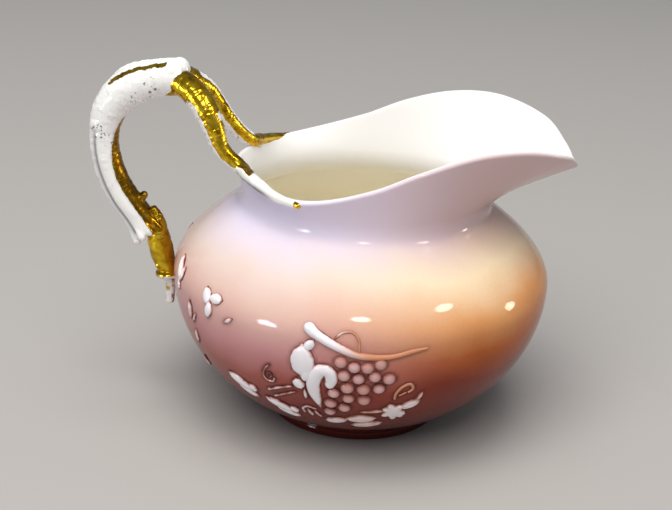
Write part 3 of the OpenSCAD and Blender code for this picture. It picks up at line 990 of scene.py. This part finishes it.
def star_leaf():
    yield leaf(8.6, 21.0, 6.4, 5.0, 4, 1.0)
    for turn, length in ((180, 3.6), (116, 3.6), (60, 3.4), (20, 3.8), (-36, 3.4), (-110, 3.4), (228, 3.6)):
        a = math.radians(turn)
        along, z = 8.6 - 2.0 * math.sin(a), 21.0 + 2.1 * math.cos(a)
        yield leaf(along, z, length, 2.5, turn, 0.9, crease=0.15, full=0.8)
    yield leaf(13.0, 23.9, 6.6, 3.8, -58, 0.9, crease=0.25, full=0.7)
    yield leaf(15.4, 26.8, 4.2, 1.5, -24, 0.6, full=0.8)


def left_leaves():
    for along, z in ((-35.2, 21.8), (-22.0, 17.2)):
        yield leaf(along - 1.2, z + 2.0, 9.8, 4.2, 65, 1.05, full=0.55)
        yield leaf(along + 1.5, z - 0.6, 8.6, 3.8, 61, 0.95, full=0.55)
        yield leaf(along + 3.4, z + 1.2, 3.6, 2.8, 40, 0.9, full=0.6)


def trefoil():
    yield leaf(-49.6, 47.2, 4.4, 3.8, 12, 1.05)
    yield leaf(-48.6, 43.9, 4.6, 3.2, -12, 1.0)
    yield leaf(-45.6, 47.6, 5.0, 3.4, 98, 1.0)
    yield leaf(-40.6, 43.4, 4.4, 1.6, -60, 0.5, full=0.8)


def handle_sprig():
    yield leaf(-68.4, 48.4, 6.4, 2.8, 16, 1.0, crease=0.2, full=0.6)
    yield leaf(-66.0, 47.4, 5.0, 2.4, -26, 0.9, full=0.6)
    yield leaf(-67.6, 44.6, 3.8, 1.8, 8, 0.7, full=0.7)
    yield leaf(-58.6, 40.2, 6.0, 2.6, 6, 0.7, crease=0.2, full=0.7)
    yield leaf(-56.2, 38.4, 4.2, 1.4, -30, 0.5, full=0.7)
    yield leaf(-55.4, 32.4, 5.0, 1.6, 12, 0.6, full=0.8)
    yield leaf(-53.0, 23.4, 5.2, 1.6, 28, 0.6, full=0.8)


def tendrils():
    yield stroke(
        [(-8.4, 45.4), (-6.4, 47.0), (-3.9, 47.2), (-2.2, 45.4), (-1.9, 42.2)],
        [0.7, 0.9, 0.9, 0.9, 0.9],
        0.5,
    )
    yield stroke(
        [(-26.6, 34.0), (-27.8, 32.2), (-28.1, 29.8), (-26.8, 28.4), (-25.2, 28.5), (-24.8, 29.8)],
        [0.6, 0.9, 1, 1, 0.9, 0.6],
        0.5,
    )
    yield stroke([(-26.8, 30.0), (-26.6, 31.3), (-25.7, 31.0), (-25.9, 29.8)], [0.6, 0.7, 0.7, 0.5], 0.45)
    yield stroke([(-26.4, 24.8), (-23, 26.8), (-19.8, 28.2)], [1.2, 1.1, 0.8], 0.55)
    yield stroke([(-24.6, 22.6), (-21.6, 24.6), (-18.6, 26.4)], [1.1, 1.0, 0.7], 0.5)
    yield stroke(
        [(8.5, 26.4), (8.8, 28.6), (10.4, 30.8), (12.4, 31.6), (13.3, 30.0), (12.2, 28.8)],
        [0.8, 0.9, 1.0, 1.0, 0.9, 0.7],
        0.5,
    )
    yield stroke([(9.8, 27.6), (11.4, 28.6)], [0.7, 0.6], 0.35)


VINE = [branch, large_leaf, curled_leaf, small_leaves, cluster_leaves]
VINE += [star_leaf, left_leaves, trefoil, handle_sprig, tendrils]
# How dry the enamel of a piece is towards the spout, where it is dry at all
DRY = {"branch": 1.0, "cluster_leaves": 0.35, "star_leaf": 0.2, "tendrils": 1.0}

# Middle of each grape: distance round the bowl and height
GRAPES = [
    [(-6.6, 38.8), (-3.0, 37.5), (0.5, 37.4), (3.9, 38.6)],
    [(-5.6, 34.6), (-1.7, 33.8), (2.6, 34.6), (6.4, 33.9)],
    [(-4.5, 30.4), (-0.2, 30.1), (3.9, 30.6), (-8.0, 28.3)],
    [(-4.0, 26.6), (0.2, 26.1), (-8.6, 24.1)],
    [(-4.8, 22.8), (-8.6, 20.6)],
]


def relief(name, place, points, faces, glaze, slot, **values):
    """A relief on the front, or its mirror image on the back."""
    if place == "back":
        points = mirrored(points)
    piece = solid(f"{name}_relief_{place}", points, faces)
    painted(piece, rise=rise_of(points), **values)
    dressed(piece, glaze, slot, f"{name}_{place}")


def make_vine(sizes, colours):
    enamel = relief_glaze(colours)
    skins = []
    for shape in VINE:
        points, faces = modelled(shape.__name__ + "_skin", list(shape()), 0.13, 3)
        # Thicker or thinner clay, and still set into the bowl
        x, y, z = points.T
        lift = np.maximum(rise_of(points), 0) * (sizes.relief_lift - 1)
        skins.append((shape.__name__, lifted(np.hypot(x, y), np.arctan2(y, x), z, lift), faces))
    for place in PLACES:
        for name, points, faces in skins:
            relief(name, place, points, faces, enamel, "leaf_relief", dry=DRY.get(name, 0.0))


def make_grapes(sizes, colours):
    draw = np.random.default_rng(7)
    parts, places, tints = [], [], []
    for along, z in (grape for row in GRAPES for grape in row):
        radius = sizes.grape_size / MM / 2 + draw.uniform(-0.06, 0.06)
        out = unit(on_bowl(along, z, 1.0) - on_bowl(along, z))
        points, faces = ball([0, 0, 0], [radius, radius, radius], 24, 15)
        # Pressed flat against the bowl
        points = points - out * (points @ out * 0.28)[:, None]
        centre = on_bowl(along, z, -0.1)
        parts.append((points + centre, faces))
        places.append(centre)
        tints.append(draw.uniform(0, 1))
    points, faces = modelled("grapes_skin", parts, 0.14, 1)
    tint = 0.55 * np.array(tints)[nearest(points, places)]
    lustre = grape_glaze(colours)
    for place in PLACES:
        relief("grapes", place, points, faces, lustre, "grape_relief", tint=tint)


# Relief this close to the bowl is its foot; past the reach the dark line of outline and painted shade has
# faded out
RELIEF_FOOT = 0.35
OUTLINE_REACH = 3


def outline_relief(width):
    """Darkens the jug's ground close round the relief: partly the painter's outline, partly painted shade
    where the relief stands on the bowl.
    """
    body = bpy.data.objects["jug"]
    skins = [points_of(piece.data) for piece in bpy.data.objects if "_relief_" in piece.name]
    found = np.concatenate([skin[np.abs(rise_of(skin)) < RELIEF_FOOT] for skin in skins])
    tree = search_tree(found)
    points = points_of(body.data)
    near = np.zeros(len(points))
    low, high = found.min(0) - OUTLINE_REACH, found.max(0) + OUTLINE_REACH
    for i in np.nonzero(np.all((points > low) & (points < high), 1))[0]:
        gap = tree.find(Vector(points[i]))[2]
        near[i] = math.exp(-((gap / width) ** 2))
    painted(body, near_relief=near)


# --- Stage ---


# Middle of the jug, that every lamp looks at
JUG_MIDDLE = Vector((0, 0, 50)) * MM
CAMERA_PLACE = Vector((-19.1, -393.0, 202.1)) * MM
CAMERA_WAY = Vector((0.0275, 0.9302, -0.3661))
CAMERA_ROLL = math.radians(2.55)
LENS = 76.7
SENSOR = 36


def make_camera():
    data = bpy.data.cameras.new("camera")
    data.lens = LENS
    data.sensor_width = SENSOR
    data.clip_start = 0.01
    data.clip_end = 50
    camera = placed("camera", data)
    back = -CAMERA_WAY.normalized()
    right = Vector((0, 0, 1)).cross(back).normalized()
    up = back.cross(right)
    right, up = (
        right * math.cos(CAMERA_ROLL) + up * math.sin(CAMERA_ROLL),
        up * math.cos(CAMERA_ROLL) - right * math.sin(CAMERA_ROLL),
    )
    turn = Matrix((right, up, back)).transposed()
    camera.matrix_world = Matrix.Translation(CAMERA_PLACE) @ turn.to_4x4()
    bpy.context.scene.camera = camera


def softbox(name, azimuth, elevation, distance, size, power, colour, **seen):
    """Area light that looks at the jug's middle; azimuth 0 is in front, 90 to the spout's side."""
    data = bpy.data.lights.new(name, "AREA")
    data.shape = "ELLIPSE"
    data.size, data.size_y = size
    data.energy = power
    data.color = linear(colour)[:3]
    lamp = placed(name, data)
    a, e = math.radians(azimuth), math.radians(elevation)
    way = Vector((math.sin(a) * math.cos(e), -math.cos(a) * math.cos(e), math.sin(e)))
    lamp.location = JUG_MIDDLE + way * distance
    lamp.rotation_mode = "QUATERNION"
    lamp.rotation_quaternion = way.to_track_quat("Z", "Y")
    for rays, shown in seen.items():
        setattr(lamp, rays, shown)


def floor_paper(colour):
    """Matt studio paper: pale, even, with a fine tooth and no shine."""
    made, add, coords = material("matt_studio_paper")
    # Paper tooth is under 0.1 mm; drawn at 1.5 mm so that it shows at all
    tooth = add("ShaderNodeTexNoise", {"Vector": coords, "Scale": 1 / (1.5 * MM), "Detail": 3.0})
    bump = add("ShaderNodeBump", {"Strength": 0.05, "Distance": 0.1 * MM, "Height": tooth})
    shader = add(
        "ShaderNodeBsdfPrincipled", {"Base Color": linear(colour), "Roughness": 0.85, "Normal": bump}
    )
    add("ShaderNodeOutputMaterial", {"Surface": shader})
    return made


def make_stage(stage):
    mesh = bpy.data.meshes.new("floor")
    half = stage.floor_size / 2
    corners = [(-half, -half, 0), (half, -half, 0), (half, half, 0), (-half, half, 0)]
    mesh.from_pydata(corners, [], [(0, 1, 2, 3)])
    mesh.materials.append(floor_paper(stage.floor_colour))
    floor = placed("floor", mesh)
    world = bpy.data.worlds.new("studio")
    world.use_nodes = True
    sky = world.node_tree.nodes["Background"].inputs
    sky["Color"].default_value = linear("#C9CCD2")
    sky["Strength"].default_value = stage.room_light
    bpy.context.scene.world = world
    power = stage.lamp_power
    # The wide key only lights; the small windows are only mirrored in the glaze
    softbox("key_box", -16, 58, 1.4, (1.3, 1.3), 24 * power, "#FFFAF4", visible_glossy=False)
    softbox("top_box", 0, 86, 1.4, (0.9, 0.9), 10 * power, "#FFFDF8", visible_glossy=False)
    for name, azimuth, elevation, size, strength, colour in (
        ("front_window", -1, 39, (0.19, 0.13), 4.6, "#FFF8EE"),
        ("spout_window", 59, 41, (0.2, 0.14), 4.0, "#FFF1DF"),
        ("left_window", -55, 1, (0.24, 0.3), 10.5, "#E8EEFF"),
        ("right_window", 96, 9, (0.16, 0.2), 3.2, "#FFEBD6"),
    ):
        softbox(name, azimuth, elevation, 1.15, size, strength * power, colour, visible_diffuse=False)
    make_camera()
    bpy.context.scene.view_settings.view_transform = "Standard"


# --- Add-on ---


def length(name, description, default, low, high):
    return bpy.props.FloatProperty(
        name=name,
        description=description,
        default=default * MM,
        min=low * MM,
        max=high * MM,
        unit="LENGTH",
        precision=5,
    )


def colour(name, description, default):
    return bpy.props.FloatVectorProperty(
        name=name, description=description, default=linear(default)[:3], subtype="COLOR", min=0, max=1
    )


def share(name, description, default, high):
    return bpy.props.FloatProperty(
        name=name, description=description, default=default, min=0, max=high, subtype="FACTOR"
    )


class JugSizes(bpy.types.PropertyGroup):
    """Sizes that a user would change."""

    stem_width: length("Stem", "Thickness of the handle's stem", STEM_D + 0.5, 6.6, 9.4)
    fork_width: length("Fork", "Thickness of a fork where it leaves the arm", FORK_D, 6, 8.6)
    bark_depth: length("Bark", "Depth of the bark ridges on the handle", 0.14, 0, 0.4)
    relief_lift: share("Relief", "Height of the leaves as a share of what was moulded", 1.0, 1.5)
    grape_size: length("Grape", "Width of a grape", 3.75, 2.8, 4)
    outline_width: length("Outline", "Width of the dark painted line round the relief", 0.55, 0.2, 3)


class JugColours(bpy.types.PropertyGroup):
    """Colours that a user would change."""

    inside: colour("Inside", "Glaze deep inside the bowl", "#FFF8E2")
    inner_wall: colour("Inner wall", "Glaze inside the neck and the spout", "#FFFFFF")
    # Dark line at the relief's foot: partly the painter's outline, partly painted shade
    outline: colour("Outline", "Painted line at the foot of the relief", "#4E1C1A")
    enamel: colour("Enamel", "Thick white on the leaves", "#FBF8FF")
    dry_enamel: colour("Dry enamel", "Ground that shows through towards the spout", "#D0906F")
    grape: colour("Grape", "Side of a grape", "#D6AAAA")
    # Paler top of a grape: partly a painted highlight
    grape_top: colour("Grape top", "Top of a grape", "#EED6DA")
    ripe_grape: colour("Ripe grape", "Tint of the warmer grapes", "#C88878")
    white_glaze: colour("White glaze", "Glaze on the handle", "#FDFEFD")
    # Grey of a painted reflection in the stem's groove and of painted shade under the front fork; also the
    # real grey flecks of worn gold
    groove: colour("Groove", "Grey that settles in the handle's grooves", "#6E6E72")
    gold: colour("Gold", "Liquid gold", "#C9A01E")
    # Painted highlight and painted shade of the gold, laid along the brush streaks
    gold_bright: colour("Bright gold", "Liquid gold where it is thin", "#EBCB3A")
    gold_shade: colour("Gold shade", "Liquid gold where it is thick", "#8A6A12")
    # Gold in painted shade: the stem's and the tail's inner sides and under the front fork where it lies on
    # the rim
    gold_umber: colour("Gold umber", "Liquid gold fired over brown", "#6B3D0A")


for name, (_, place, *shades) in GROUND.items():
    for side, shade in zip(SIDES, shades):
        label = f"{SIDES[side]}, {name}"
        note = f"Airbrushed ground {place}, on the {SIDES[side].lower()}"
        JugColours.__annotations__[f"{side}_{name}"] = colour(label, note, shade)


class JugStage(bpy.types.PropertyGroup):
    """The floor and the light."""

    floor_size: length("Floor", "Side of the square floor", 8000, 1000, 20000)
    floor_colour: colour("Floor colour", "Paper under the jug", "#B8B6B4")
    lamp_power: share("Lamps", "Share of the lamps' full power", 0.72, 2)
    room_light: share("Room light", "Strength of the light from all round", 0.36, 2)


def chosen(context):
    return context.scene.jug_sizes, context.scene.jug_colours


class JUG_OT_body(bpy.types.Operator):
    """Makes the foot, bowl, neck and spout in one skin"""

    bl_idname = "jug.body"
    bl_label = "Jug"

    def execute(self, context):
        make_body(context.scene.jug_colours)
        return {"FINISHED"}


class JUG_OT_handle(bpy.types.Operator):
    """Makes the handle's stem and tail"""

    bl_idname = "jug.handle"
    bl_label = "Handle"

    def execute(self, context):
        make_stem(*chosen(context))
        make_tail(*chosen(context))
        return {"FINISHED"}


class JUG_OT_forks(bpy.types.Operator):
    """Makes the two forks that come down on the rim"""

    bl_idname = "jug.forks"
    bl_label = "Forks"

    def execute(self, context):
        for place in PLACES:
            make_fork(*chosen(context), place)
        return {"FINISHED"}


class JUG_OT_vine(bpy.types.Operator):
    """Makes the branch, leaves and tendrils on both sides"""

    bl_idname = "jug.vine"
    bl_label = "Vine"

    def execute(self, context):
        make_vine(*chosen(context))
        return {"FINISHED"}


class JUG_OT_grapes(bpy.types.Operator):
    """Makes the grapes on both sides"""

    bl_idname = "jug.grapes"
    bl_label = "Grapes"

    def execute(self, context):
        make_grapes(*chosen(context))
        return {"FINISHED"}


class JUG_OT_outline(bpy.types.Operator):
    """Paints the dark line round the relief, partly outline and partly painted shade"""

    bl_idname = "jug.outline"
    bl_label = "Outline"

    def execute(self, context):
        outline_relief(context.scene.jug_sizes.outline_width / MM)
        return {"FINISHED"}


class JUG_OT_stage(bpy.types.Operator):
    """Lays the floor and sets the lights and the camera"""

    bl_idname = "jug.stage"
    bl_label = "Stage"

    def execute(self, context):
        make_stage(context.scene.jug_stage)
        return {"FINISHED"}


OPERATORS = (JUG_OT_body, JUG_OT_handle, JUG_OT_forks, JUG_OT_vine, JUG_OT_grapes)
OPERATORS += (JUG_OT_outline, JUG_OT_stage)


class JUG_PT_panel(bpy.types.Panel):
    """Lists the jug's pieces, sizes and colours"""

    bl_idname = "JUG_PT_panel"
    bl_label = "Cream jug"
    bl_space_type = "VIEW_3D"
    bl_region_type = "UI"
    bl_category = "Cream jug"

    def draw(self, context):
        for group in (context.scene.jug_sizes, context.scene.jug_colours, context.scene.jug_stage):
            box = self.layout.box()
            for name in group.__annotations__:
                box.prop(group, name)
        for operator in OPERATORS:
            self.layout.operator(operator.bl_idname)


GROUPS = {"jug_sizes": JugSizes, "jug_colours": JugColours, "jug_stage": JugStage}


def register():
    for kind in (*GROUPS.values(), *OPERATORS, JUG_PT_panel):
        bpy.utils.register_class(kind)
    for name, kind in GROUPS.items():
        setattr(bpy.types.Scene, name, bpy.props.PointerProperty(type=kind))


def unregister():
    for name in GROUPS:
        delattr(bpy.types.Scene, name)
    for kind in (JUG_PT_panel, *OPERATORS[::-1], *GROUPS.values()):
        bpy.utils.unregister_class(kind)


def main():
    register()
    bpy.ops.jug.body()
    bpy.ops.jug.handle()
    bpy.ops.jug.forks()
    bpy.ops.jug.vine()
    bpy.ops.jug.grapes()
    bpy.ops.jug.outline()
    bpy.ops.jug.stage()
    bpy.context.view_layer.update()


if __name__ == "__main__":
    main()
